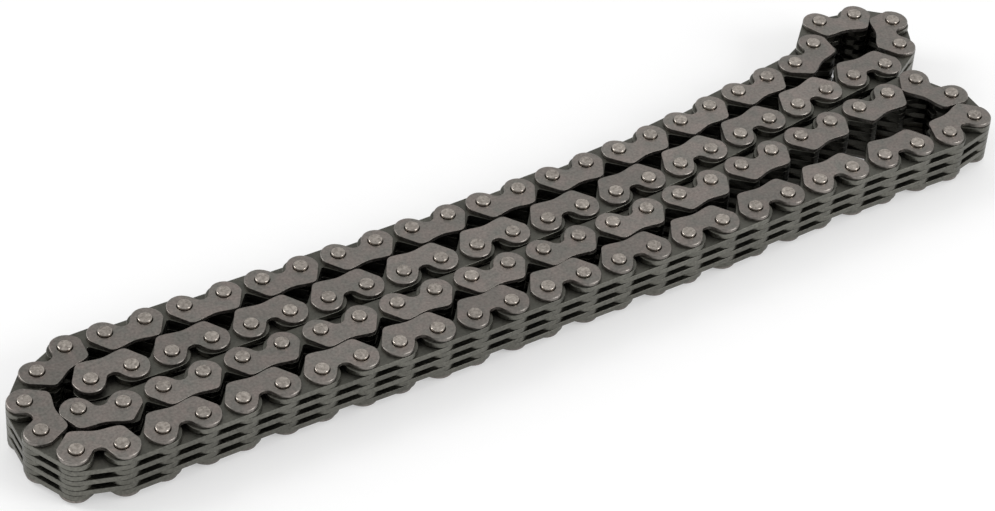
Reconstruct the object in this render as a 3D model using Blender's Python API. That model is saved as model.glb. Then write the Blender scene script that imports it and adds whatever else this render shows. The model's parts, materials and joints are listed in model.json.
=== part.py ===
"""Endless inverted-tooth timing chain, folded double and lying on its side.

The chain has 106 riveted pins. Guide links, which carry the two outer guide plates, join pins 2k and
2k + 1, and inner links join pins 2k + 1 and 2k + 2. The chain lies in four rows with its pins upright:
row 1 at the back, row 2 and row 3 inside, row 4 at the front. Teeth face the inside of the loop.
All sizes are in metres.
"""

import math

import bmesh
import bpy
import numpy as np
from mathutils import Matrix

# Chain
PITCH = 0.00635
PIN_COUNT = 106
PIN_RADIUS = 0.00115
PIN_PROUD = 0.00047
PIN_SIDES = 6
PIN_RUNNING_CLEARANCE = 0.00003

# Plates. A guide link's toothed plates lie in two packs under its guides, an inner link's in one between
GUIDE_THICKNESS = 0.00063
LINK_PLATE_THICKNESS = 0.00093
PLATES_IN_GUIDE_LINK = 3
PLATES_IN_INNER_LINK = 4
LAYER_CLEARANCE = 0.00006

# Guide plate outline: two lobes, a notch between them, and a blunt tip under each pin. Its tips and the
# waist between them are set back from the ends of the teeth
GUIDE_LOBE_RADIUS = 0.00268
GUIDE_LOBE_ANGLES = (128, 66, -4)
GUIDE_NOTCH_HEIGHT = 0.00020
GUIDE_TIP_SPREAD = 0.00066
GUIDE_TIP_SET_BACK = 0.00010
GUIDE_WAIST_SET_BACK = 0.00048

# Toothed link plate outline: a straight back and two teeth with a crotch between them
BACK_HEIGHT = 0.00272
BACK_CORNER_ANGLES = (68, -3)
TOOTH_DEPTH = 0.00384
TOOTH_TIP_HALF_WIDTH = 0.00066
CROTCH_DEPTH = 0.00080
GUIDE_TIP_DEPTH = TOOTH_DEPTH - GUIDE_TIP_SET_BACK
GUIDE_WAIST_DEPTH = TOOTH_DEPTH - GUIDE_WAIST_SET_BACK

# How the rows lie against each other, and how far rows 1, 3 and 4 lift off their neighbour
ROW_GAP = 0.00026
STATION_STEP = 4 * PITCH
ROW_2_HEIGHTS = (0.00443, 0.00302, 0.00167, 0.00088, 0.00116, 0.00373, 0.00672)
ROW_1_LIFTS = (0, 0.00004, 0.00005, 0.00015, 0.00010, 0.00018, 0.00018)
ROW_3_LIFTS = (0.00080, 0.00004, 0, 0, 0, 0.00048, 0.00122)
ROW_4_LIFTS = (0.00006, 0.00017, 0.00012, 0.00006, 0.00096, 0.00296, 0.00640)

# First pin, first pin's place along X in pitches, last pin and direction of each row. The outer rows lie
# further left by two teeth, so that the teeth of their turn clear the back of the inner turn
ROWS = (
    ("row_1", 2, -9.211, 22, 1),
    ("row_2", 29, 10.52, 51, -1),
    ("row_3", 53, -11.17, 76, 1),
    ("row_4", 79, 12.359, 102, -1),
)
OUTER_ROWS = ("row_1", "row_4")

# Bends in degrees at the pins of the four turns between the rows, clockwise negative
BACK_LOOP_BENDS = (19, -56, -32, -75, -33, -31)
INNER_TURN_BENDS = (120,)
FRONT_LOOP_BENDS = (-30, -73)
OUTER_TURN_BENDS = (-52, -30, -39, -24, -27)

# The bends of a turn are scaled within these bounds, and places are settled in this many rounds
BEND_SCALES = (0.6, 1.35)
ROUNDS = 60

# The loop is opened at this pin, and rows 2 and 3 are made in rigid blocks of this many guide links
OPEN_PIN = 104
GUIDE_LINKS_IN_BLOCK = 3

STEEL_COLOUR = (0.155, 0.147, 0.138, 1)
STEEL_ROUGHNESS = 0.42
STEEL_METALLIC = 0.9

# Heights of the layers, from the rivet ends at the bottom
GUIDE_LOW = PIN_PROUD
PACK_LOW = GUIDE_LOW + GUIDE_THICKNESS
GUIDE_LINK_PACK = PLATES_IN_GUIDE_LINK / 2 * LINK_PLATE_THICKNESS
INNER_LOW = PACK_LOW + GUIDE_LINK_PACK + LAYER_CLEARANCE
INNER_HIGH = INNER_LOW + PLATES_IN_INNER_LINK * LINK_PLATE_THICKNESS
PACK_HIGH = INNER_HIGH + LAYER_CLEARANCE
GUIDE_HIGH = PACK_HIGH + GUIDE_LINK_PACK
CHAIN_HEIGHT = GUIDE_HIGH + GUIDE_THICKNESS + PIN_PROUD
LAP = 0.00005
BLOCK_INSET = 0.00004
BORE_RADIUS = (PIN_RADIUS + PIN_RUNNING_CLEARANCE) / math.cos(math.pi / PIN_SIDES)
WELD = 0.000001

TOOTH_SPACING = 2 * TOOTH_DEPTH + ROW_GAP
BACK_SPACING = 2 * BACK_HEIGHT + ROW_GAP
NESTED_SPACING = GUIDE_TIP_DEPTH + GUIDE_WAIST_DEPTH + ROW_GAP


def smooth(values, x):
    """Height at x of a smooth line through one value per station, the middle station at x = 0."""
    stations = (np.arange(len(values)) - len(values) // 2) * STATION_STEP
    slopes = np.gradient(values, stations)
    i = int(np.clip(np.searchsorted(stations, x) - 1, 0, len(stations) - 2))
    t = (x - stations[i]) / STATION_STEP
    low, high = (2 * t - 3) * t * t + 1, (3 - 2 * t) * t * t
    rise = ((t - 2) * t + 1) * t * slopes[i] + (t - 1) * t * t * slopes[i + 1]
    return low * values[i] + high * values[i + 1] + rise * STATION_STEP


def row_height(row, x):
    """Where the pins of a row lie: each row rests on its neighbour's teeth or back."""
    height = smooth(ROW_2_HEIGHTS, x)
    if row == "row_1":
        return height + TOOTH_SPACING + smooth(ROW_1_LIFTS, x)
    if row in ("row_3", "row_4"):
        height -= BACK_SPACING + smooth(ROW_3_LIFTS, x)
    if row == "row_4":
        height -= NESTED_SPACING + smooth(ROW_4_LIFTS, x)
    return height


def lay_row(pins, row, first, start, last, side):
    """Steps one pitch at a time along the row, the first pin at start pitches from the middle."""
    x = start * PITCH
    if row in OUTER_ROWS:
        x -= 2 * TOOTH_DEPTH
    pins[first] = (x, row_height(row, x))
    for pin in range(first + 1, last + 1):
        before = pins[pin - 1]
        for _ in range(ROUNDS):
            rise = row_height(row, x) - before[1]
            x = before[0] + side * math.sqrt(PITCH**2 - rise**2)
        pins[pin] = (x, row_height(row, x))


def turn_steps(bends, share):
    """Steps of one pitch each, with the bends scaled by share, the first step along +X."""
    headings = np.radians(np.concatenate([[0], np.cumsum(bends)]) * share)
    return PITCH * np.column_stack([np.cos(headings), np.sin(headings)])


def lay_turn(pins, first, last, bends):
    """Bridges two laid pins: the bends keep their proportions and are scaled until the ends meet."""
    start, end = np.array(pins[first]), np.array(pins[last % PIN_COUNT])
    reach = np.linalg.norm(end - start)
    loose, tight = BEND_SCALES
    for _ in range(ROUNDS):
        share = (loose + tight) / 2
        if np.linalg.norm(turn_steps(bends, share).sum(axis=0)) > reach:
            loose = share
        else:
            tight = share
    steps = turn_steps(bends, share)
    across, along = steps.sum(axis=0), end - start
    turn = math.atan2(along[1], along[0]) - math.atan2(across[1], across[0])
    c, s = math.cos(turn), math.sin(turn)
    places = start + np.cumsum(steps, axis=0) @ np.array([[c, s], [-s, c]])
    for i, place in enumerate(places[:-1]):
        pins[(first + 1 + i) % PIN_COUNT] = tuple(place)


def lay_chain():
    """The pin places in the plane, by pin number, with the chain's middle at the origin."""
    pins = {}
    for row in ROWS:
        lay_row(pins, *row)
    lay_turn(pins, 22, 29, BACK_LOOP_BENDS)
    lay_turn(pins, 51, 53, INNER_TURN_BENDS)
    lay_turn(pins, 76, 79, FRONT_LOOP_BENDS)
    lay_turn(pins, 102, 2 + PIN_COUNT, OUTER_TURN_BENDS)
    places = np.array([pins[i] for i in range(PIN_COUNT)])
    edge = np.concatenate([
        link_outline(places, i, outline)
        for i in range(PIN_COUNT)
        for outline in (plate_outline(), guide_outline())[:2 - i % 2]
    ])
    return places - (edge.min(axis=0) + edge.max(axis=0)) / 2


def mirrored(half):
    """A closed outline from its right half, which is listed clockwise and meets the middle line."""
    right = np.array(half)
    left = right[right[:, 0] > 0][::-1] * (-1, 1)
    return np.concatenate([right, left])


def arc(radius, angles):
    """Points round the right-hand pin of a link."""
    turns = np.radians(angles)
    return [(PITCH / 2 + radius * math.cos(a), radius * math.sin(a)) for a in turns]


def guide_outline():
    """Guide plate, back up, with its middle between the pins."""
    half = [(0, GUIDE_NOTCH_HEIGHT)]
    half += arc(GUIDE_LOBE_RADIUS, GUIDE_LOBE_ANGLES)
    half += [(PITCH / 2 + GUIDE_TIP_SPREAD, -GUIDE_TIP_DEPTH), (0, -GUIDE_WAIST_DEPTH)]
    return mirrored(half)


def plate_outline():
    """Toothed link plate, back up, with its middle between the pins."""
    tip_out = PITCH / 2 + TOOTH_TIP_HALF_WIDTH
    tip_in = PITCH / 2 - TOOTH_TIP_HALF_WIDTH
    half = arc(BACK_HEIGHT / math.sin(math.radians(BACK_CORNER_ANGLES[0])), BACK_CORNER_ANGLES[:1])
    half += arc(BACK_HEIGHT, BACK_CORNER_ANGLES[1:])
    half += [(tip_out, -TOOTH_DEPTH), (tip_in, -TOOTH_DEPTH), (0, -CROTCH_DEPTH)]
    return mirrored(half)


def link_frame(places, link):
    """Middle, direction and back direction of the link that starts at a pin."""
    a, b = places[link % PIN_COUNT], places[(link + 1) % PIN_COUNT]
    along = (b - a) / np.linalg.norm(b - a)
    return (a + b) / 2, along, np.array([-along[1], along[0]])


def link_outline(places, link, outline):
    """An outline turned and moved to its link."""
    middle, along, back = link_frame(places, link)
    return middle + outline[:, :1] * along + outline[:, 1:] * back


def round_outline(places, pin, radius, sides, link):
    """A regular polygon round a pin, turned with its link."""
    _, along, back = link_frame(places, link)
    turns = np.radians(360 / sides * (np.arange(sides) + 0.5))
    ring = np.outer(np.cos(turns), along) + np.outer(np.sin(turns), back)
    return places[pin % PIN_COUNT] + radius * ring


def block_outline(places, first, last):
    """One outline for the plates of several links that lie as a solid block between two pins.

    It stays a little inside the plates, so that the block's end lies within the laced plates there.
    """
    height, depth = BACK_HEIGHT - BLOCK_INSET, TOOTH_DEPTH - BLOCK_INSET
    half_width = TOOTH_TIP_HALF_WIDTH - BLOCK_INSET
    corner, side = (math.radians(angle) for angle in BACK_CORNER_ANGLES)
    backs, teeth = [], []
    for link in range(first, last):
        middle, along, back = link_frame(places, link)
        a, b = middle - along * PITCH / 2, middle + along * PITCH / 2
        if link == first:
            backs.append(a - height * (along * math.cos(side) - back * math.sin(side)))
            backs.append(a + height * (back - along / math.tan(corner)))
            teeth.append(a - back * depth - along * half_width)
        teeth.append(a - back * depth + along * half_width)
        teeth.append(middle - back * CROTCH_DEPTH)
        teeth.append(b - back * depth - along * half_width)
        if link == last - 1:
            teeth.append(b - back * depth + along * half_width)
            backs.append(b + height * (back + along / math.tan(corner)))
            backs.append(b + height * (along * math.cos(side) + back * math.sin(side)))
        else:
            _, _, next_back = link_frame(places, link + 1)
            backs.append(b + height * (back + next_back) / (1 + back @ next_back))
    return np.array(teeth + backs[::-1])


def extrude(outline, low, high):
    """A flat outline as a filled 2D curve, extruded from low to high and made a closed mesh."""
    curve = bpy.data.curves.new("outline", "CURVE")
    curve.dimensions = "2D"
    curve.fill_mode = "BOTH"
    curve.extrude = (high - low) / 2
    spline = curve.splines.new("POLY")
    spline.points.add(len(outline) - 1)
    for point, (x, y) in zip(spline.points, outline):
        point.co = (x, y, 0, 1)
    spline.use_cyclic_u = True
    holder = bpy.data.objects.new("outline", curve)
    holder.location.z = (low + high) / 2
    return mesh_of(holder)


def mesh_of(holder):
    """The evaluated mesh of an object in world space, welded. The object is removed."""
    bpy.context.scene.collection.objects.link(holder)
    bpy.context.view_layer.update()
    graph = bpy.context.evaluated_depsgraph_get()
    mesh = bpy.data.meshes.new_from_object(holder.evaluated_get(graph))
    mesh.transform(holder.matrix_world)
    body = bmesh.new()
    body.from_mesh(mesh)
    bmesh.ops.remove_doubles(body, verts=body.verts, dist=WELD)
    bmesh.ops.recalc_face_normals(body, faces=body.faces)
    body.to_mesh(mesh)
    body.free()
    bpy.data.objects.remove(holder)
    return mesh


def combined(base, tools, operation):
    """The base mesh joined with, or cut by, each of the tool meshes."""
    holder = bpy.data.objects.new("base", base)
    helpers = []
    for tool in tools:
        helper = bpy.data.objects.new("tool", tool)
        helper.hide_render = True
        helper.display_type = "WIRE"
        bpy.context.scene.collection.objects.link(helper)
        modifier = holder.modifiers.new(operation, "BOOLEAN")
        modifier.operation = operation
        modifier.object = helper
        helpers.append(helper)
    mesh = mesh_of(holder)
    for helper in helpers:
        bpy.data.objects.remove(helper)
    return mesh


def steel(name):
    """Oiled dark steel for one piece of the chain."""
    material = bpy.data.materials.new(name + "_steel")
    material.use_nodes = True
    shader = material.node_tree.nodes["Principled BSDF"]
    shader.inputs["Base Color"].default_value = STEEL_COLOUR
    shader.inputs["Roughness"].default_value = STEEL_ROUGHNESS
    shader.inputs["Metallic"].default_value = STEEL_METALLIC
    return material


def guide_plates(places, link):
    """The two guide plates of a guide link, outside all the toothed plates."""
    outline = link_outline(places, link, guide_outline())
    return [extrude(outline, low, low + GUIDE_THICKNESS) for low in (GUIDE_LOW, GUIDE_HIGH)]


def guide_link_packs(places, link):
    """The toothed plates of a guide link, a pack joined to each of its guide plates."""
    outline = link_outline(places, link, plate_outline())
    return [
        extrude(outline, PACK_LOW - LAP, PACK_LOW + GUIDE_LINK_PACK),
        extrude(outline, PACK_HIGH, GUIDE_HIGH + LAP),
    ]


def inner_link_pack(places, link, bored_pins):
    """The toothed plates of an inner link, between the guide link's packs, bored where they turn."""
    pack = extrude(link_outline(places, link, plate_outline()), INNER_LOW, INNER_HIGH)
    for pin in (link, link + 1):
        if pin in bored_pins:
            bore = round_outline(places, pin, BORE_RADIUS, PIN_SIDES, link)
            pack = combined(pack, [extrude(bore, 0, CHAIN_HEIGHT)], "DIFFERENCE")
    return [pack]


def pin_bodies(places, pin, link):
    """A riveted pin through the whole stack, or only its two riveted ends at the open pivot."""
    ring = round_outline(places, pin, PIN_RADIUS, PIN_SIDES, link)
    if pin != OPEN_PIN:
        return [extrude(ring, 0, CHAIN_HEIGHT)]
    inside = GUIDE_THICKNESS / 2
    return [
        extrude(ring, 0, GUIDE_LOW + inside),
        extrude(ring, GUIDE_HIGH + inside, CHAIN_HEIGHT),
    ]


def solid_block(places, first, last):
    """The toothed plates between two pins inside one piece, as a block that fills the stack."""
    outline = block_outline(places, first, last)
    return [extrude(outline, PACK_LOW - LAP, GUIDE_HIGH + LAP)]


def run_of_links(places, first, last, bored_pins):
    """One rigid piece of the chain, from its first pin to its last.

    The end links are laced: their plates lie between those of the next piece, and turn on its pin or
    carry the pin that it turns on. Any links between them form one block.
    """
    parts = []
    for link in range(first, last):
        if link % 2 == 0:
            parts += pin_bodies(places, link, link)
            parts += pin_bodies(places, link + 1, link)
            parts += guide_plates(places, link)
        if link not in (first, last - 1):
            continue
        if link % 2 == 0:
            parts += guide_link_packs(places, link)
        else:
            parts += inner_link_pack(places, link, bored_pins)
    if last - first > 2:
        parts += solid_block(places, first + 1, last - 1)
    return combined(parts[0], parts[1:], "UNION")


def add_piece(places, collection, name, first, last, hinge, bored_pins=()):
    """Makes one named piece of the chain with its origin on its hinge pin."""
    mesh = run_of_links(places, first, last, bored_pins)
    mesh.name = name
    x, y = places[hinge % PIN_COUNT]
    mesh.transform(Matrix.Translation((-x, -y, 0)))
    mesh.materials.clear()
    mesh.materials.append(steel(name))
    piece = bpy.data.objects.new(name, mesh)
    piece.location = (x, y, 0)
    collection.objects.link(piece)


def add_back_branch(places, collection):
    """Row 1 and its turns: each piece turns on its odd pin in the piece before it."""
    for number, guide_link in enumerate(range(26, -1, -2), 1):
        name = f"back_link_{number:02d}"
        add_piece(places, collection, name, guide_link - 1, guide_link + 1, guide_link + 1, (guide_link - 1,))
    add_piece(places, collection, "open_end_link", OPEN_PIN, OPEN_PIN + 1, OPEN_PIN + 1)


def add_front_branch(places, collection):
    """The front loop, row 4 and its turn: each piece turns on its even pin in the piece before it."""
    for number, guide_link in enumerate(range(76, 103, 2), 1):
        name = f"front_link_{number:02d}"
        add_piece(places, collection, name, guide_link, guide_link + 2, guide_link, (guide_link + 2,))


def add_inner_rows(places, collection):
    """Rows 2 and 3, which the outer rows enclose, in blocks that are laced together at their ends."""
    step = 2 * GUIDE_LINKS_IN_BLOCK
    for number, first in enumerate(range(27, 51, step), 1):
        last = min(first + step, 51)
        bored = (first,)
        if last == 51:
            last, bored = 52, (first, 52)
        add_piece(places, collection, f"row_2_block_{number}", first, last, first, bored)
    for number, first in enumerate(range(52, 76, step), 1):
        last = min(first + step, 76)
        add_piece(places, collection, f"row_3_block_{number}", first, last, first, (last,))


def main():
    """Clears the scene and builds the folded chain."""
    for old in list(bpy.data.objects):
        bpy.data.objects.remove(old)
    collection = bpy.data.collections.new("timing_chain")
    bpy.context.scene.collection.children.link(collection)
    places = lay_chain()
    add_back_branch(places, collection)
    add_front_branch(places, collection)
    add_inner_rows(places, collection)


main()
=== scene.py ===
"""Looks of an endless inverted-tooth timing chain, folded double and lying on its side.

Every guide plate, toothed plate and riveted pin of the chain is made here and rides on the CAD body it
belongs to. The places of the pins are read off the CAD nodes, so each link lies where its solid does.
"""

import json
import logging
import math
from dataclasses import dataclass, field
from enum import Enum

import bpy
import numpy as np
from mathutils import Matrix, Vector


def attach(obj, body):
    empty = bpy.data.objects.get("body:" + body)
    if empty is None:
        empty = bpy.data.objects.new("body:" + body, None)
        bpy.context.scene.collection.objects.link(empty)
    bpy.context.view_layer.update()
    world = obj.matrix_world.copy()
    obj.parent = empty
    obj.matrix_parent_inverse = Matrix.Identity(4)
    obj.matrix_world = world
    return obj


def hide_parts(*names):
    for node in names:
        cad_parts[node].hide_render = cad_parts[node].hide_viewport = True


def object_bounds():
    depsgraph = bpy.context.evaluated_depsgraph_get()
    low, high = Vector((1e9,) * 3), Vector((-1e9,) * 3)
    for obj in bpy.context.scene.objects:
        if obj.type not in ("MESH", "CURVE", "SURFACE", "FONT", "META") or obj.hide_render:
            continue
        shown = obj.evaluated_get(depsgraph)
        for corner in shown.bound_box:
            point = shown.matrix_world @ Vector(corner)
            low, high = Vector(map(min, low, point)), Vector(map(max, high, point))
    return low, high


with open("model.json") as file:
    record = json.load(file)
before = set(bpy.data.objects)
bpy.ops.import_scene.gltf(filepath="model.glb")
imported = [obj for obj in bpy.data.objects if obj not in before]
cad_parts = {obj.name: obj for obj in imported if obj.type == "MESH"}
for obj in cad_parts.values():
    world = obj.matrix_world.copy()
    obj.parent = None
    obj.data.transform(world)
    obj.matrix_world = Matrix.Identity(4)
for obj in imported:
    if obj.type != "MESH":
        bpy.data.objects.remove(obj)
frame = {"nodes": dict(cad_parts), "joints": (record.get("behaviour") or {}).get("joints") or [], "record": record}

LOG = logging.getLogger("timing_chain")
CAD_BOX = [list(corner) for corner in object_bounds()]
# The pins are numbered along the chain, and the loop is opened at one of them
PIN_COUNT = 106
OPENED_PIN = 104
# The first pins of the two inner rows, the pins that one of their blocks adds, and the pins where the outer
# links' own numbers start: the back links count down the chain and the front links up
ROW_2_FIRST_PIN = 28
ROW_3_FIRST_PIN = 52
PINS_IN_BLOCK = 6
FRONT_LINKS_FROM_PIN = 74
# The layer whose shades the pins take, the middle one
PIN_SHADES = 4
# Corners of the CAD this near to its top, in metres, belong to pin ends
TOP_TOLERANCE = 1e-5
# Corners of one pin end lie within this many pin radii of each other
END_REACH = 2.6
WHITE = (1, 1, 1, 1)
MM_IN_METRE = 1000
# The part of each noise's range that the surface uses, how far the grain moves the roughness down and up, the
# share of the rim colour on a rounded edge from 0 to 1, partly wear and partly a painted highlight, and the share
# by which a plate is lighter or darker than its neighbours
PATCH_NOISE = (0.35, 0.72)
GRAIN_NOISE = (0.3, 0.7)
ROUGHNESS_SPREAD = (-0.07, 0.09)
RIM_WEAR_AND_HIGHLIGHT = 0.75
TINT_SPREAD = 0.12


class PlateKind(Enum):
    """The three plates of the chain, and the layers that each fills, counted from the bottom."""

    GUIDE = (0, 8)
    GUIDE_LINK = (2, 4, 6)
    INNER_LINK = (1, 3, 5, 7)


@dataclass(frozen=True)
class Steel:
    """One steel finish.

    Args:
        name: common name and how the surface was made.
        colour: sRGB hex of the clean surface.
        mottle: sRGB hex of the darker patches in it.
        rim: sRGB hex of the rounded edges, partly burnished wear and partly a painted highlight.
        painted_shade: sRGB hex of the painted shade on the teeth, which lie in the shaded gaps between rows.
        roughness: microfacet roughness of the clean surface.
        patch_mm: width of the oily, temper-coloured patches.
        grain_mm: width of the fine grain left by tumbling.
        relief_mm: height of that grain.
        speckle: share by which the grain lightens and darkens the colour.
        burnish: how much smoother the rounded edges are than the flats.
    """

    name: str
    colour: str
    mottle: str
    rim: str
    painted_shade: str
    roughness: float
    patch_mm: float
    grain_mm: float
    relief_mm: float
    speckle: float
    burnish: float


# Stamped from strip, hardened and tumbled: a warm grey satin face; its soft rolled edge is lighter, partly worn
# and partly a painted highlight
GUIDE_STEEL = Steel(
    name="guide_plate_steel_tumbled", colour="#7f7772", mottle="#706f6a", rim="#8a8580", painted_shade="#4a4742",
    roughness=0.42, patch_mm=2.6, grain_mm=0.42, relief_mm=0.012, speckle=0.24, burnish=0.06,
)
# Fine-blanked: cooler and darker, its sheared edge a little lighter than its face, partly wear and partly a
# painted highlight.
# Its teeth lie in the shaded gaps between rows and are darkened with painted shade
# Its face colour is darker than the guides' partly in its own tone and partly as painted shade of its faces that
# lie recessed between the guides
TOOTHED_STEEL = Steel(
    name="toothed_plate_steel_blanked", colour="#585751", mottle="#4d4d48", rim="#76756e", painted_shade="#43423d",
    roughness=0.44, patch_mm=2.4, grain_mm=0.40, relief_mm=0.010, speckle=0.22, burnish=0.10,
)
# Hardened pin with a pressed end: the barest steel of the three, finely pitted by the rivet tool; its rounded rim
# and wall are lighter, partly burnished and partly a painted highlight
PIN_STEEL = Steel(
    name="pin_steel_riveted", colour="#a49d95", mottle="#736c66", rim="#b8b1a9", painted_shade="#4a4742",
    roughness=0.36, patch_mm=0.55, grain_mm=0.30, relief_mm=0.018, speckle=0.20, burnish=0.20,
)


def linear(hex_colour: str) -> tuple[float, float, float, float]:
    """Turns an sRGB hex colour into linear red, green, blue and alpha.

    Args:
        hex_colour: such as "#756e69".

    Returns:
        The linear colour that a shader socket takes.
    """
    parts = np.array([int(hex_colour[i:i + 2], 16) for i in (1, 3, 5)]) / 255
    low = parts / 12.92
    high = ((parts + 0.055) / 1.055) ** 2.4
    return (*np.where(parts <= 0.04045, low, high).tolist(), 1.0)


def add_node(tree: bpy.types.NodeTree, kind: str, settings: dict, links: dict) -> bpy.types.Node:
    """Adds one node with its settings and links.

    Args:
        tree: the node tree.
        kind: the node's type name.
        settings: property or socket name, or socket number, to value.
        links: socket name or number to the output that feeds it.

    Returns:
        The new node.
    """
    node = tree.nodes.new(kind)
    for key, value in settings.items():
        if isinstance(key, str) and hasattr(node, key):
            setattr(node, key, value)
        else:
            node.inputs[key].default_value = value
    for key, output in links.items():
        tree.links.new(output, node.inputs[key])
    return node


def steel_material(steel: Steel) -> bpy.types.Material:
    """Dresses one steel: patches and a tint per plate in its colour, rims lightened by wear and a painted
    highlight, painted shade on the teeth and fine grain.

    Args:
        steel: the finish.

    Returns:
        The material. It reads Object coordinates and the pieces' own rim, painted_shade and tint attributes.
    """
    material = bpy.data.materials.new(steel.name)
    material.use_nodes = True
    tree = material.node_tree
    shader = tree.nodes["Principled BSDF"]
    grain_range = {"From Min": GRAIN_NOISE[0], "From Max": GRAIN_NOISE[1]}
    place = add_node(tree, "ShaderNodeTexCoord", {}, {}).outputs["Object"]
    rim = add_node(tree, "ShaderNodeAttribute", {"attribute_name": "rim"}, {}).outputs["Fac"]
    tint = add_node(tree, "ShaderNodeAttribute", {"attribute_name": "tint"}, {}).outputs["Fac"]
    painted_shade = add_node(tree, "ShaderNodeAttribute", {"attribute_name": "painted_shade"}, {}).outputs["Fac"]
    patches = add_node(
        tree, "ShaderNodeTexNoise",
        {"Scale": MM_IN_METRE / steel.patch_mm, "Detail": 4.0, "Roughness": 0.6, "Distortion": 0.4},
        {"Vector": place},
    ).outputs["Fac"]
    grain = add_node(
        tree, "ShaderNodeTexNoise",
        {"Scale": MM_IN_METRE / steel.grain_mm, "Detail": 3.0, "Roughness": 0.55},
        {"Vector": place},
    ).outputs["Fac"]
    patch_share = add_node(
        tree, "ShaderNodeMapRange",
        {"From Min": PATCH_NOISE[0], "From Max": PATCH_NOISE[1]},
        {"Value": patches},
    ).outputs["Result"]
    body = add_node(
        tree, "ShaderNodeMix", {"data_type": "RGBA", 6: linear(steel.colour), 7: linear(steel.mottle)},
        {"Factor": patch_share},
    ).outputs[2]
    # The rim colour lightens the rounded edges: partly wear, partly a painted highlight
    edge_share = add_node(
        tree, "ShaderNodeMath", {"operation": "MULTIPLY", 1: RIM_WEAR_AND_HIGHLIGHT}, {0: rim}
    ).outputs["Value"]
    worn_and_highlit = add_node(
        tree, "ShaderNodeMix", {"data_type": "RGBA", 7: linear(steel.rim)}, {"Factor": edge_share, 6: body}
    ).outputs[2]
    # Painted shade: the teeth, which lie in the shaded gaps between rows, are darkened towards their tips
    with_painted_shade = add_node(
        tree, "ShaderNodeMix", {"data_type": "RGBA", 7: linear(steel.painted_shade)}, {"Factor": painted_shade, 6: worn_and_highlit}
    ).outputs[2]
    shade = add_node(
        tree, "ShaderNodeMapRange", {"To Min": 1 - TINT_SPREAD, "To Max": 1 + TINT_SPREAD}, {"Value": tint}
    ).outputs["Result"]
    speckle = add_node(
        tree, "ShaderNodeMapRange",
        grain_range | {"To Min": 1 - steel.speckle, "To Max": 1 + steel.speckle},
        {"Value": grain},
    ).outputs["Result"]
    lightness = add_node(
        tree, "ShaderNodeMath", {"operation": "MULTIPLY"}, {0: shade, 1: speckle}
    ).outputs["Value"]
    toned = add_node(
        tree, "ShaderNodeHueSaturation", {}, {"Value": lightness, "Color": with_painted_shade}
    ).outputs["Color"]
    rough = add_node(
        tree, "ShaderNodeMapRange",
        grain_range | {
            "To Min": steel.roughness + ROUGHNESS_SPREAD[0],
            "To Max": steel.roughness + ROUGHNESS_SPREAD[1],
        },
        {"Value": grain},
    ).outputs["Result"]
    burnish = add_node(
        tree, "ShaderNodeMath", {"operation": "MULTIPLY_ADD", 1: -steel.burnish}, {0: rim, 2: rough}
    ).outputs["Value"]
    relief = add_node(
        tree, "ShaderNodeBump",
        {"Strength": 0.6, "Distance": steel.relief_mm / MM_IN_METRE},
        {"Height": grain},
    ).outputs["Normal"]
    shader.inputs["Metallic"].default_value = 1.0
    tree.links.new(toned, shader.inputs["Base Color"])
    tree.links.new(burnish, shader.inputs["Roughness"])
    tree.links.new(relief, shader.inputs["Normal"])
    return material


@dataclass
class Shell:
    """A closed surface as whole arrays, in a link's own frame.

    Args:
        points: (points, 3) places in metres.
        normals: (corners, 3) shading normal of every face corner.
        corners: (corners,) point number of every face corner.
        sizes: (faces,) number of corners of each face.
        worn_and_highlit_rims: (points,) 1 on a rounded edge and 0 on a flat, where the rim colour paints wear and
            a highlight.
        painted_shades: (points,) 1 where painted shade darkens the teeth and 0 where none is painted.
    """

    points: np.ndarray
    normals: np.ndarray
    corners: np.ndarray
    sizes: np.ndarray
    worn_and_highlit_rims: np.ndarray
    painted_shades: np.ndarray


def strip(lower: np.ndarray, upper: np.ndarray) -> np.ndarray:
    """Quads between two closed rings of one length that run clockwise seen from above, facing outwards."""
    return np.stack([lower, upper, np.roll(upper, -1), np.roll(lower, -1)], axis=1)


def round_ring(centre: tuple[float, float], radius: float, turns: np.ndarray) -> np.ndarray:
    """Points on a circle: the centre plus the radius times the cosine and sine of each turn in degrees."""
    angles = np.radians(turns)
    return np.array(centre) + radius * np.stack([np.cos(angles), np.sin(angles)], axis=1)


def rounded_corner(before: tuple, corner: tuple, after: tuple, radius: float, count: int) -> np.ndarray:
    """A corner rounded by a quadratic curve between the points a cut's length along its two sides.

    Args:
        before: a point on the side that comes in.
        corner: the sharp corner.
        after: a point on the side that goes out.
        radius: the cut's length.
        count: how many points the curve has.

    Returns:
        (count, 2) points. A point is the weighted mean of the cut's start, the corner and the cut's end.
    """
    at = np.array(corner)
    side_in = np.array(before) - at
    side_out = np.array(after) - at
    start = at + radius * side_in / np.linalg.norm(side_in)
    end = at + radius * side_out / np.linalg.norm(side_out)
    t = np.linspace(0, 1, count)[:, None]
    return (1 - t) ** 2 * start + 2 * t * (1 - t) * at + t ** 2 * end


# How far a hole's shading normals point up at both rings of its lower broken edge, its wall and its upper one
WALL_TILTS = ((-0.8, -0.3), (0, 0), (0.3, 0.8))


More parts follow.
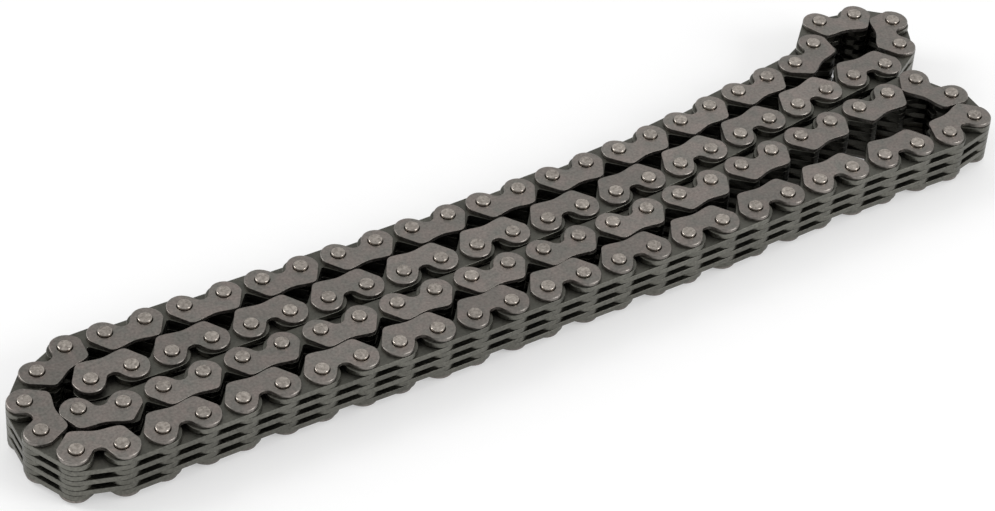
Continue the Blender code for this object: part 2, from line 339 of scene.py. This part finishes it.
@dataclass
class Plate:
    """A flat plate with two pin holes and rounded edges.

    Args:
        pitch: distance between the two pins, in metres.
        thickness: from face to face.
        hole_radius: radius of each pin hole.
        hole_edge: width of the broken edge round each hole.
        crisp: radius of an edge that the die leaves sharp.
        soft_face: 1 where the upper face has the soft edges, 0 where the lower one has.
        round_steps: steps in each rounded edge.
        hole_turn: turn of a hole's first and last point in degrees, on both sides of the plate's middle.
    """

    pitch: float
    thickness: float
    hole_radius: float
    hole_edge: float
    crisp: float
    soft_face: int = 1
    round_steps: int = 2
    hole_turn: float = 176.0

    def half_outline(self) -> np.ndarray:
        """The right half of the outline in pitches, clockwise from the back's middle to the front's."""
        raise NotImplementedError

    def outline(self) -> np.ndarray:
        """The whole outline in metres: the right half and its mirror image, which share two points."""
        half = self.half_outline()
        left = half[1:-1][::-1] * (-1, 1)
        return np.concatenate([half, left]) * self.pitch

    def edge_radii(self, ring: np.ndarray) -> np.ndarray:
        """Radius of the soft face's edge at every point of the outline: the same all round."""
        return np.full(len(ring), self.crisp)

    def painted_shades(self, points: np.ndarray) -> np.ndarray:
        """Where painted shade goes: nowhere."""
        return np.zeros(len(points))

    def outward(self, ring: np.ndarray) -> np.ndarray:
        """Outward normals in the plane: each is square to the line between the point's two neighbours."""
        along = np.roll(ring, -1, axis=0) - np.roll(ring, 1, axis=0)
        across = np.stack([-along[:, 1], along[:, 0]], axis=1)
        return across / np.linalg.norm(across, axis=1, keepdims=True)

    def levels(self) -> np.ndarray:
        """Rings from the lower face to the upper one, each as its turn in radians, inset, depth and face.

        A ring at turn t of an edge is set in by one minus cosine t and lies at one minus sine t from its
        face, both in radii of that edge. The face is 0 for the lower and 1 for the upper.
        """
        turns = np.linspace(0, math.pi / 2, self.round_steps + 1)
        inset, depth, one = 1 - np.cos(turns), 1 - np.sin(turns), np.ones(len(turns))
        low = np.stack([-turns, inset, depth, 0 * one], axis=1)[::-1]
        return np.concatenate([low, np.stack([turns, inset, depth, one], axis=1)])

    def hole(self, side: int, count: int) -> tuple[np.ndarray, np.ndarray]:
        """Four rings down one hole's wall, from the lower face to the upper, its edges broken at both faces.

        Args:
            side: 1 for the right-hand hole, -1 for the left-hand one.
            count: how many points a ring has.

        Returns:
            (4, count, 3) points, and the unit directions in plan from the points to the hole's axis.
        """
        turns = np.linspace(self.hole_turn, -self.hole_turn, count) + (0 if side > 0 else 180)
        towards = -round_ring((0, 0), 1, turns)
        radii = self.hole_radius + self.hole_edge * np.array([1, 0, 0, 1])
        heights = np.array([0, self.hole_edge, self.thickness - self.hole_edge, self.thickness])
        plan = np.array((side * self.pitch / 2, 0)) - radii[:, None, None] * towards
        return np.concatenate([plan, np.broadcast_to(heights[:, None, None], (4, count, 1))], axis=2), towards

    def shell(self) -> Shell:
        """The plate's closed surface: stacked outline rings, two hole walls, and faces bridged ring to hole.

        Returns:
            The surface in the link's frame, lower face at height 0.
        """
        ring = self.outline()
        count = len(ring)
        half = count // 2
        out = self.outward(ring)
        turns, insets, depths, face = self.levels().T
        radii = np.where((face == self.soft_face)[:, None], self.edge_radii(ring), self.crisp)
        depths = depths[:, None] * radii
        heights = np.where(face[:, None] > 0, self.thickness - depths, depths)
        plan = ring - out * (insets[:, None] * radii)[..., None]
        rings = np.concatenate([plan, heights[..., None]], axis=2)
        flat = out * np.cos(turns)[:, None, None]
        up = np.broadcast_to(np.sin(turns)[:, None, None], (len(turns), count, 1))
        ring_normals = np.concatenate([flat, up], axis=2).reshape(-1, 3)
        # Share of the rim colour, partly wear and partly a painted highlight: none on the flats, rising towards
        # the side walls, and most where the edge is softest
        worn_and_highlit_rims = (np.cos(turns)[:, None] ** 0.5 * radii / radii.max()).ravel()

        numbers = np.arange(rings[..., 0].size).reshape(len(turns), count)
        faces = [np.concatenate([strip(numbers[i], numbers[i + 1]) for i in range(len(turns) - 1)])]
        normals = [ring_normals[faces[0]]]
        points = [rings.reshape(-1, 3)]
        for side, loop in ((1, np.arange(half + 1)), (-1, np.arange(half, count + 1) % count)):
            wall, towards = self.hole(side, half + 1)
            wall_numbers = sum(map(len, points)) + np.arange(4 * (half + 1)).reshape(4, half + 1)
            points.append(wall.reshape(-1, 3))
            low = strip(wall_numbers[0], numbers[0][loop])
            high = strip(numbers[-1][loop], wall_numbers[3])
            faces += [low, high]
            normals += [np.tile((0, 0, -1.0), (*low.shape, 1)), np.tile((0, 0, 1.0), (*high.shape, 1))]
            for i, tilts in enumerate(WALL_TILTS):
                faces.append(strip(wall_numbers[i + 1], wall_numbers[i]))
                lean = np.concatenate([
                    np.column_stack([towards * (1 - t * t) ** 0.5, np.full(half + 1, t)]) for t in tilts])
                normals.append(lean[faces[-1] - wall_numbers[i][0]])
        corners = np.concatenate(faces)
        worn_and_highlit_rims = np.concatenate([worn_and_highlit_rims, np.zeros(8 * (half + 1))])
        points = np.concatenate(points)
        sizes = np.full(len(corners), 4)
        return Shell(
            points, np.concatenate(normals).reshape(-1, 3), corners.ravel(), sizes, worn_and_highlit_rims, self.painted_shades(points))


@dataclass
class GuidePlate(Plate):
    """An outermost plate: a lobe over each pin, a round notch between them, and a blunt tip under each.

    Args:
        lobe_middle: place of a lobe's middle along the link in pitches.
        lobe_inner: reach of the lobe from there towards the notch in pitches.
        lobe_outer: reach of the lobe from there away from the notch in pitches.
        lobe_height: height of the lobe over the pins in pitches.
        notch: radius of the notch's round bottom in pitches.
        notch_floor: height of that bottom over the pins in pitches.
        toe: depth of the tips in pitches.
        waist: depth of the front edge at its middle in pitches.
        tip: place of a tip's sharp outer corner in pitches.
        tip_cut: how much of its two sides the rounding of that corner takes in pitches.
        front: where the wavy front edge starts along the link in pitches.
        notch_turns: first and last turn of half the notch's bottom in degrees, and its points.
        lobe_turns: the same of a lobe's two quarters.
        fade_over: height over the pins where the soft edge starts and the height it grows in, in pitches.
        fade_beside: the same of the distance from the notch's middle.
        soft: radius of the lobes' edge, which the die rolls most.
    """

    lobe_middle: float = 0.54
    lobe_inner: float = 0.362
    lobe_outer: float = 0.388
    lobe_height: float = 0.408
    notch: float = 0.195
    notch_floor: float = 0.008
    toe: float = 0.599
    waist: float = 0.530
    tip: tuple[float, float] = (0.604, -0.602)
    tip_cut: float = 0.095
    front: float = 0.46
    notch_turns: tuple[float, float, int] = (-90, -16, 6)
    lobe_turns: tuple[tuple[float, float, int], ...] = ((143, 96, 6), (84, -16, 10))
    fade_over: tuple[float, float] = (-0.15, 0.40)
    fade_beside: tuple[float, float] = (0.17, 0.15)
    soft: float = 0.00027

    def half_outline(self) -> np.ndarray:
        """Notch bottom, lobe, flank, rounded tip and the wavy front edge.

        The lobe is two quarters of ellipses that share its height, and the front edge is one wave of a
        cosine that is highest at the waist and lowest under the pins.
        """
        floor_middle = (0, self.notch_floor + self.notch)
        floor = round_ring(floor_middle, self.notch, np.linspace(*self.notch_turns))
        floor[0, 0] = 0
        angles = np.radians(np.concatenate([np.linspace(*turns) for turns in self.lobe_turns]))
        reach = np.where(np.cos(angles) < 0, self.lobe_inner, self.lobe_outer)
        along, over = reach * np.cos(angles), self.lobe_height * np.sin(angles)
        lobe = np.stack([self.lobe_middle + along, over], axis=1)
        tip = rounded_corner(lobe[-1], self.tip, (0, -self.toe), self.tip_cut, 6)
        x = np.linspace(self.front, 0, 9)
        middle, swing = (self.toe + self.waist) / 2, (self.toe - self.waist) / 2
        front = np.stack([x, -middle + swing * np.cos(2 * math.pi * x)], axis=1)
        return np.concatenate([floor, lobe, tip, front])

    def edge_radii(self, ring: np.ndarray) -> np.ndarray:
        """Radius of the soft face's edge: crisp in the notch and along the front, soft round the lobes.

        It grows with the height over the pins and with the distance from the notch, each from 0 to 1.
        """
        x, y = np.abs(ring.T[0]) / self.pitch, ring.T[1] / self.pitch
        over = np.clip((y - self.fade_over[0]) / self.fade_over[1], 0, 1)
        beside = np.clip((x - self.fade_beside[0]) / self.fade_beside[1], 0, 1)
        return self.crisp + (self.soft - self.crisp) * over * beside


@dataclass
class ToothedPlate(Plate):
    """A link plate: a straight back with round ends, and two teeth with a crotch between them.

    Args:
        back: height of the back over the pins in pitches, and the radius of its ends.
        depth: depth of the tooth tips in pitches.
        tip_outer: outer corner of a tip along the link in pitches.
        tip_inner: inner corner of a tip along the link in pitches.
        crotch: depth of the crotch in pitches.
        end_turn: turn of the round end's last point in degrees, 0 along the link.
        cuts: what rounding takes of the sides of a tip's outer and inner corner and of the crotch.
        shade_from: how far under the pins the painted shade starts, in pitches.
    """

    back: float = 0.426
    depth: float = 0.602
    tip_outer: float = 0.606
    tip_inner: float = 0.398
    crotch: float = 0.128
    end_turn: float = -4.0
    cuts: tuple[float, float, float] = (0.05, 0.04, 0.07)
    shade_from: float = 0.05

    def half_outline(self) -> np.ndarray:
        """Straight back, round end, flank, tip with two rounded corners, inner flank and rounded crotch."""
        middle = np.array([[0, self.back]])
        end = round_ring((0.5, 0), self.back, np.linspace(90, self.end_turn, 9))
        outer, inner = (self.tip_outer, -self.depth), (self.tip_inner, -self.depth)
        crotch = (0, -self.crotch)
        outer_cut, inner_cut, crotch_cut = self.cuts
        outer_tip = rounded_corner(end[-1], outer, inner, outer_cut, 3)
        inner_tip = rounded_corner(outer, inner, crotch, inner_cut, 3)
        mirrored_flank = (-self.tip_inner, -self.depth)
        hollow = rounded_corner(inner, crotch, mirrored_flank, crotch_cut, 5)[:3]
        hollow[-1, 0] = 0
        return np.concatenate([middle, end, outer_tip, inner_tip, hollow])

    def painted_shades(self, points: np.ndarray) -> np.ndarray:
        """Where painted shade goes: from 0 a little under the pins to 1 at half a tooth's depth, where the teeth
        lie in the shaded gaps between rows.
        """
        return np.clip((-points[:, 1] / self.pitch - self.shade_from) / (self.depth / 2), 0, 1)


@dataclass
class RivetedPin:
    """A pin through the whole stack, its ends pressed flat with a rounded rim.

    Args:
        radius: of the pin.
        height: from end to end.
        rim: radius of the rounded rim.
        crown: how far the middle of an end stands over its rim.
        crown_share: radius of the flat on top of the crown, as a share of the pin's.
        sides: facets round the pin.
    """

    radius: float
    height: float
    rim: float = 0.00016
    crown: float = 0.00004
    crown_share: float = 0.55
    sides: int = 20

    def shell(self) -> Shell:
        """A profile turned about the pin's axis, closed by a flat disc at each end.

        Returns:
            The surface in the pin's own frame, lower end at height 0.
        """
        turns = np.linspace(0, math.pi / 2, 4)
        edge = self.radius - self.rim * (1 - np.cos(turns))
        fall = self.rim * (1 - np.sin(turns)) + self.crown
        radii = np.concatenate([edge, [self.radius * self.crown_share]])
        depths = np.concatenate([fall, [0]])
        tilts = np.concatenate([turns, [math.pi / 2]])
        radii = np.concatenate([radii[::-1], radii])
        heights = np.concatenate([depths[::-1], self.height - depths])
        tilts = np.concatenate([-tilts[::-1], tilts])
        angles = np.radians(np.linspace(360, 0, self.sides, endpoint=False))
        spin = np.stack([np.cos(angles), np.sin(angles)], axis=1)
        plan = radii[:, None, None] * spin
        levels = np.broadcast_to(heights[:, None, None], (len(radii), self.sides, 1))
        points = np.concatenate([plan, levels], axis=2).reshape(-1, 3)
        flat = np.cos(tilts)[:, None, None] * spin
        up = np.broadcast_to(np.sin(tilts)[:, None, None], (len(radii), self.sides, 1))
        ring_normals = np.concatenate([flat, up], axis=2).reshape(-1, 3)
        numbers = np.arange(len(points)).reshape(len(radii), self.sides)
        quads = np.concatenate([strip(numbers[i], numbers[i + 1]) for i in range(len(radii) - 1)])
        lids = np.concatenate([numbers[0], numbers[-1][::-1]])
        corners = np.concatenate([quads.ravel(), lids])
        sizes = np.concatenate([np.full(len(quads), 4), [self.sides, self.sides]])
        # Share of the rim colour, partly wear and partly a painted highlight: full on the pin's wall, none on the
        # flats of its ends
        worn_and_highlit_rims = np.broadcast_to(np.cos(tilts)[:, None], (len(radii), self.sides)).ravel()
        return Shell(points, ring_normals[corners], corners, sizes, worn_and_highlit_rims, np.zeros(len(points)))


@dataclass
class Places:
    """Where copies of a shell go.

    Args:
        middles: (copies, 2) places in plan.
        along: (copies, 2) unit directions of the links.
        heights: (copies,) heights of the lower faces.
        tints: (copies,) a shade from 0 to 1 for each copy.
    """

    middles: np.ndarray
    along: np.ndarray
    heights: np.ndarray
    tints: np.ndarray


def laid_out(shell: Shell, places: Places) -> dict[str, np.ndarray]:
    """Copies a shell to its places: its x runs along the link, its y towards the link's back.

    Args:
        shell: the surface in its own frame.
        places: where the copies go.

    Returns:
        Arrays of a mesh by name.
    """
    copies = len(places.middles)
    back = np.stack([-places.along[:, 1], places.along[:, 0]], axis=1)
    turn = np.stack([places.along, back], axis=1)
    plan = shell.points[:, :2] @ turn + places.middles[:, None]
    levels = shell.points[:, 2] + places.heights[:, None]
    upwards = np.broadcast_to(shell.normals[:, 2:], (copies, len(shell.normals), 1))
    normals = np.concatenate([shell.normals[:, :2] @ turn, upwards], axis=2)
    count = len(shell.points)
    return {
        "points": np.concatenate([plan, levels[..., None]], axis=2).reshape(-1, 3),
        "normals": normals.reshape(-1, 3),
        "corners": (shell.corners + count * np.arange(copies)[:, None]).ravel(),
        "sizes": np.tile(shell.sizes, copies),
        "rim": np.tile(shell.worn_and_highlit_rims, copies),
        "painted_shade": np.tile(shell.painted_shades, copies),
        "tint": np.repeat(places.tints, count),
    }


def piece_from(name: str, arrays: dict[str, np.ndarray], material: bpy.types.Material) -> bpy.types.Object:
    """Makes one object from whole arrays.

    Args:
        name: the piece's name.
        arrays: what laid_out returns.
        material: its finish.

    Returns:
        The object, at the origin.
    """
    mesh = bpy.data.meshes.new(name)
    mesh.vertices.add(len(arrays["points"]))
    mesh.vertices.foreach_set("co", arrays["points"].astype(np.float32).ravel())
    mesh.loops.add(len(arrays["corners"]))
    mesh.loops.foreach_set("vertex_index", arrays["corners"].astype(np.int32))
    sizes = arrays["sizes"].astype(np.int32)
    mesh.polygons.add(len(sizes))
    mesh.polygons.foreach_set("loop_start", (np.cumsum(sizes) - sizes).astype(np.int32))
    mesh.polygons.foreach_set("loop_total", sizes)
    mesh.polygons.foreach_set("use_smooth", np.ones(len(sizes), bool))
    mesh.update(calc_edges=True)
    mesh.normals_split_custom_set(arrays["normals"])
    for key in ("rim", "painted_shade", "tint"):
        mesh.attributes.new(key, "FLOAT", "POINT").data.foreach_set("value", arrays[key].astype(np.float32))
    mesh.materials.append(material)
    piece = bpy.data.objects.new(name, mesh)
    bpy.context.scene.collection.objects.link(piece)
    return piece


@dataclass
class Chain:
    """The whole chain, link by link, laid where the CAD solids are.

    Args:
        pin_proud: how far a pin stands out of a guide plate.
        guide_thickness: thickness of a guide plate.
        plate_thickness: thickness of a toothed plate.
        pin_radius: radius of the pins.
        guide_play: gap between a pin and a guide plate's hole.
        plate_play: gap between a pin and a toothed plate's hole.
        guide_edges: width of the broken edge round a guide's hole, and radius of its crisp edges.
        plate_edges: the same of a toothed plate.
        seed: of the shades of the plates.
        height: of the whole stack, from pin end to pin end.
        pitch: distance between two pins.
        pins: (106, 2) places of the pins in plan.
        middles: (106, 2) middle of the link from each pin to the next.
        along: (106, 2) unit direction of that link.
        owners: first link, link after the last, and body of each CAD node.
    """

    pin_proud: float = 0.00047
    guide_thickness: float = 0.00063
    plate_thickness: float = 0.00093
    pin_radius: float = 0.00109
    guide_play: float = 0.00005
    plate_play: float = 0.00008
    guide_edges: tuple[float, float] = (0.00008, 0.00006)
    plate_edges: tuple[float, float] = (0.00006, 0.00009)
    seed: int = 11
    height: float = field(init=False)
    pitch: float = field(init=False)
    pins: np.ndarray = field(init=False)
    middles: np.ndarray = field(init=False)
    along: np.ndarray = field(init=False)
    owners: dict[str, tuple[int, int, str]] = field(init=False)

    def __post_init__(self) -> None:
        """Reads the height of the stack, the places of the pins and the links of each node off the CAD."""
        self.height = CAD_BOX[1][2]
        self.pins, self.owners = self.read_pins()
        steps = np.roll(self.pins, -1, axis=0) - self.pins
        self.pitch = float(np.median(np.linalg.norm(steps, axis=1)))
        self.middles = self.pins + steps / 2
        self.along = steps / np.linalg.norm(steps, axis=1, keepdims=True)

    def pin_tops(self, node: str) -> np.ndarray:
        """The middles of a node's pin ends: the mean of the top corners that lie near each other.

        Args:
            node: name of a CAD node.

        Returns:
            (pins, 2) places in plan, sorted along X.
        """
        mesh = frame["nodes"][node].data
        points = np.empty(len(mesh.vertices) * 3)
        mesh.vertices.foreach_get("co", points)
        points = points.reshape(-1, 3)
        tops = np.unique(points[points[:, 2] > self.height - TOP_TOLERANCE][:, :2].round(7), axis=0)
        near = np.linalg.norm(tops[:, None] - tops[None], axis=2) < END_REACH * self.pin_radius
        middles = (near @ tops) / near.sum(axis=1, keepdims=True)
        return np.unique(middles.round(6), axis=0)

    def read_pins(self) -> tuple[np.ndarray, dict]:
        """Numbers the pins along the chain by the names of the nodes and the places of their hinges.

        Returns:
            (106, 2) pin places in order, and the first link, the link after the last and the body per node.
        """
        pins = np.zeros((PIN_COUNT, 2))
        owners = {}
        hinges = {joint["child"]: np.array(joint["pos_m"][:2]) for joint in frame["joints"]}
        record_bodies = frame["record"]["behaviour"]["bodies"]
        bodies = {node: body for body, nodes in record_bodies.items() for node in nodes}
        for node in sorted(frame["nodes"]):
            family, _, number = node.rpartition("_")
            tops = self.pin_tops(node)
            if family in ("row_2_block", "row_3_block"):
                second = family == "row_2_block"
                row_first = ROW_2_FIRST_PIN if second else ROW_3_FIRST_PIN
                first = row_first + PINS_IN_BLOCK * (int(number) - 1)
                pins[first:first + len(tops)] = tops[::-1] if second else tops
                owners[node] = (first - second, first + len(tops) - second, bodies[node])
                continue
            gaps = np.linalg.norm(tops - hinges[bodies[node]], axis=1)
            hinge, other = tops[np.argmin(gaps)], tops[np.argmax(gaps)]
            if family == "front_link":
                first = FRONT_LINKS_FROM_PIN + 2 * int(number)
                pins[first], pins[first + 1] = hinge, other
                owners[node] = (first, first + 2, bodies[node])
            elif family == "back_link":
                first = ROW_2_FIRST_PIN - 2 * int(number)
                pins[first], pins[first + 1] = other, hinge
                owners[node] = (first - 1, first + 1, bodies[node])
            else:
                pins[OPENED_PIN], pins[OPENED_PIN + 1] = other, hinge
                owners[node] = (OPENED_PIN, OPENED_PIN + 1, bodies[node])
        return pins, owners

    def plates(self, kind: PlateKind, layer: int) -> Plate:
        """The plate of a kind for a layer: guides have their soft edge outwards.

        Args:
            kind: which plate.
            layer: its layer from the bottom.

        Returns:
            The plate's sizes.
        """
        if kind is PlateKind.GUIDE:
            hole = self.pin_radius + self.guide_play
            upper = 0 if layer == 0 else 1
            return GuidePlate(
                self.pitch, self.guide_thickness, hole, *self.guide_edges, soft_face=upper, round_steps=3)
        hole = self.pin_radius + self.plate_play
        return ToothedPlate(self.pitch, self.plate_thickness, hole, *self.plate_edges, round_steps=1)

    def layer_height(self, layer: int) -> float:
        """Height of a layer's lower face: the toothed layers share the room between the guides evenly."""
        lowest, highest = PlateKind.GUIDE.value
        if layer == lowest:
            return self.pin_proud
        if layer == highest:
            return self.height - self.pin_proud - self.guide_thickness
        room = self.height - 2 * (self.pin_proud + self.guide_thickness)
        step = room / (highest - 1)
        return self.pin_proud + self.guide_thickness + (layer - 1) * step + (step - self.plate_thickness) / 2

    def joined(self, parts: list[dict[str, np.ndarray]]) -> dict[str, np.ndarray]:
        """Several laid-out shells as one set of arrays."""
        starts = np.cumsum([0] + [len(part["points"]) for part in parts[:-1]])
        merged = {key: np.concatenate([part[key] for part in parts]) for key in parts[0]}
        merged["corners"] = np.concatenate(
            [part["corners"] + start for part, start in zip(parts, starts)])
        return merged

    def links_of(self, first: int, last: int, kind: PlateKind) -> np.ndarray:
        """Numbers of a node's links that carry plates of a kind: guide links are even, inner links odd."""
        links = np.arange(first, last)
        return links[links % 2 == (1 if kind is PlateKind.INNER_LINK else 0)] % PIN_COUNT

    def build(self) -> list[bpy.types.Object]:
        """Makes the plates and pins of every CAD node and sets them on its body.

        Returns:
            The pieces.
        """
        layers = max(PlateKind.GUIDE.value) + 1
        shades = np.random.default_rng(self.seed).uniform(0, 1, (layers, PIN_COUNT))
        steels = (GUIDE_STEEL, TOOTHED_STEEL, PIN_STEEL)
        guide_finish, toothed_finish, pin_finish = map(steel_material, steels)
        finishes = {
            PlateKind.GUIDE: guide_finish,
            PlateKind.GUIDE_LINK: toothed_finish,
            PlateKind.INNER_LINK: toothed_finish,
        }
        shells = {
            (kind, layer): self.plates(kind, layer).shell() for kind in PlateKind for layer in kind.value}
        pin_shell = RivetedPin(self.pin_radius, self.height).shell()
        end_height = self.pin_proud + self.guide_thickness
        end_shell = RivetedPin(self.pin_radius, end_height).shell()
        pieces = []
        for node, (first, last, body) in self.owners.items():
            made = []
            for kind in PlateKind:
                links = self.links_of(first, last, kind)
                if len(links) == 0:
                    continue
                parts = [
                    laid_out(shells[kind, layer], Places(
                        self.middles[links],
                        self.along[links],
                        np.full(len(links), self.layer_height(layer)),
                        shades[layer, links],
                    ))
                    for layer in kind.value
                ]
                name = f"{node}_{kind.name.lower()}_plates"
                made.append(piece_from(name, self.joined(parts), finishes[kind]))
            guides = self.links_of(first, last, PlateKind.GUIDE)
            numbers = np.concatenate([guides, (guides + 1) % PIN_COUNT])
            whole = numbers[numbers != OPENED_PIN]
            tints = shades[PIN_SHADES]
            places = Places(self.pins[whole], self.along[whole], np.zeros(len(whole)), tints[whole])
            parts = [laid_out(pin_shell, places)]
            if len(whole) < len(numbers):
                # Only the two ends of the opened pin are there, and the next link's bores stay free
                ends = np.full(2, OPENED_PIN)
                heights = np.array([0, self.height - end_height])
                places = Places(self.pins[ends], self.along[ends], heights, tints[ends])
                parts.append(laid_out(end_shell, places))
            made.append(piece_from(f"{node}_riveted_pins", self.joined(parts), pin_finish))
            for piece in made:
                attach(piece, body)
                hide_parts(node)
            LOG.info("%s: %d pieces, links %d to %d", node, len(made), first, last - 1)
            pieces += made
        return pieces


@dataclass(frozen=True)
class Softbox:
    """A square softbox that faces the chain.

    Args:
        name: of the lamp.
        azimuth: round the chain in degrees, 0 in front of it.
        elevation: over the horizon in degrees.
        distance: from the chain in metres.
        side: edge length in metres.
        watts: its power.
    """

    name: str
    azimuth: float
    elevation: float
    distance: float
    side: float
    watts: float


SOFTBOXES = (
    Softbox("left_softbox", -133, 32, 0.7, 0.30, 1.9),
    Softbox("right_softbox", 35, 30, 0.7, 0.30, 1.9),
    Softbox("back_softbox", 122, 48, 0.9, 1.00, 1.25),
)


@dataclass
class Studio:
    """A plain white table with soft light, and the photograph's camera.

    Args:
        target: the point that the camera looks at.
        azimuth: of the camera round the target in degrees, 0 looking along +Y.
        elevation: of the camera over the horizon in degrees.
        roll: of the camera about its view in degrees.
        distance: of the camera from the target in metres.
        lens: focal length in millimetres.
        sensor: width of the sensor in millimetres.
        reflected_share: how much of the white background shows in metal and glass.
        floor_glow: how much of the floor's look is its own white light; the rest keeps the shadow.
        sky: strength of the sky's light on the chain; what is seen of it has strength 1.
        table_half: half the table's edge length in metres.
        table_gap: how far the table lies under the chain in metres.
    """

    target: tuple[float, float, float] = (-0.007330, -0.006020, 0.00883)
    azimuth: float = -36.694
    elevation: float = 40.457
    roll: float = 4.218
    distance: float = 0.4783
    lens: float = 116.43
    sensor: float = 36.0
    reflected_share: float = 0.10
    floor_glow: float = 0.40
    sky: float = 0.62
    table_half: float = 3.0
    table_gap: float = 0.00002

    def direction(self, azimuth: float, elevation: float) -> Vector:
        """The unit vector towards a camera or lamp at this azimuth and elevation in degrees."""
        a, e = math.radians(azimuth), math.radians(elevation)
        return Vector((math.sin(a) * math.cos(e), -math.cos(a) * math.cos(e), math.sin(e)))

    def add_camera(self) -> bpy.types.Object:
        """Adds the camera, turned to look at the target and rolled about its view.

        Returns:
            The camera object.
        """
        data = bpy.data.cameras.new("camera")
        data.lens = self.lens
        data.sensor_width = self.sensor
        data.clip_start = 0.01
        data.dof.use_dof = False
        back = self.direction(self.azimuth, self.elevation)
        right = Vector((0, 0, 1)).cross(back).normalized()
        up = back.cross(right)
        c, s = math.cos(math.radians(self.roll)), math.sin(math.radians(self.roll))
        turned_right, turned_up = right * c + up * s, up * c - right * s
        camera = bpy.data.objects.new("camera", data)
        turn = Matrix((turned_right, turned_up, back)).transposed().to_4x4()
        camera.matrix_world = Matrix.Translation(Vector(self.target) + back * self.distance) @ turn
        bpy.context.scene.collection.objects.link(camera)
        bpy.context.scene.camera = camera
        return camera

    def add_softbox(self, box: Softbox) -> None:
        """Adds one softbox, turned to face the chain."""
        data = bpy.data.lights.new(box.name, "AREA")
        data.size = box.side
        data.energy = box.watts
        lamp = bpy.data.objects.new(box.name, data)
        towards = self.direction(box.azimuth, box.elevation)
        lamp.rotation_euler = towards.to_track_quat("Z", "Y").to_euler()
        lamp.location = towards * box.distance
        bpy.context.scene.collection.objects.link(lamp)

    def seen_rays(self, tree: bpy.types.NodeTree, camera_share: float) -> bpy.types.NodeSocket:
        """Adds a share for the rays that show the background, weaker for those that metal and glass send.

        Args:
            tree: the node tree that gets it.
            camera_share: the share for camera rays, from 0 to 1.

        Returns:
            The share's output, 0 for all other rays.
        """
        rays = add_node(tree, "ShaderNodeLightPath", {}, {}).outputs
        sent = add_node(
            tree, "ShaderNodeMath", {"operation": "MAXIMUM"},
            {0: rays["Is Glossy Ray"], 1: rays["Is Transmission Ray"]},
        ).outputs["Value"]
        weaker = add_node(
            tree, "ShaderNodeMath", {"operation": "MULTIPLY", 1: self.reflected_share}, {0: sent}
        ).outputs["Value"]
        return add_node(
            tree, "ShaderNodeMath", {"operation": "MULTIPLY_ADD", 1: camera_share},
            {0: rays["Is Camera Ray"], 2: weaker},
        ).outputs["Value"]

    def add_table(self) -> bpy.types.Object:
        """Adds the floor: matt white that keeps the shadow, with some white light of its own for seen rays.

        Returns:
            The floor object.
        """
        material = bpy.data.materials.new("matt_white_board")
        material.use_nodes = True
        tree = material.node_tree
        tree.nodes.remove(tree.nodes["Principled BSDF"])
        matt = add_node(tree, "ShaderNodeBsdfDiffuse", {"Color": linear("#fafafa")}, {}).outputs["BSDF"]
        glow = add_node(tree, "ShaderNodeEmission", {"Color": WHITE}, {}).outputs["Emission"]
        share = self.seen_rays(tree, self.floor_glow)
        both = add_node(tree, "ShaderNodeMixShader", {}, {"Fac": share, 1: matt, 2: glow}).outputs["Shader"]
        tree.links.new(both, tree.nodes["Material Output"].inputs["Surface"])
        mesh = bpy.data.meshes.new("table")
        half = self.table_half
        corners = [(-half, -half, 0), (half, -half, 0), (half, half, 0), (-half, half, 0)]
        mesh.from_pydata(corners, [], [(0, 1, 2, 3)])
        mesh.materials.append(material)
        table = bpy.data.objects.new("table", mesh)
        table.location.z = CAD_BOX[0][2] - self.table_gap
        bpy.context.scene.collection.objects.link(table)
        return table

    def add_world(self) -> None:
        """Sets a soft sky light that the camera sees as white."""
        world = bpy.data.worlds.new("studio")
        world.use_nodes = True
        tree = world.node_tree
        seen = self.seen_rays(tree, 1.0)
        power = add_node(
            tree, "ShaderNodeMapRange", {"To Min": self.sky, "To Max": 1.0}, {"Value": seen}
        ).outputs["Result"]
        shader = tree.nodes["Background"]
        shader.inputs["Color"].default_value = WHITE
        tree.links.new(power, shader.inputs["Strength"])
        bpy.context.scene.world = world

    def build(self) -> None:
        """Sets up the table, the light and the camera."""
        self.add_camera()
        self.add_table()
        self.add_world()
        for box in SOFTBOXES:
            self.add_softbox(box)
        bpy.context.scene.view_settings.view_transform = "Standard"


def main() -> None:
    """Builds the chain and its studio in order and reports each piece."""
    logging.basicConfig(level=logging.INFO, format="%(message)s")
    chain = Chain()
    pieces = chain.build()
    LOG.info("%d pieces, pitch %.3f mm", len(pieces), chain.pitch * 1000)
    Studio().build()


if __name__ == "__main__":
    main()
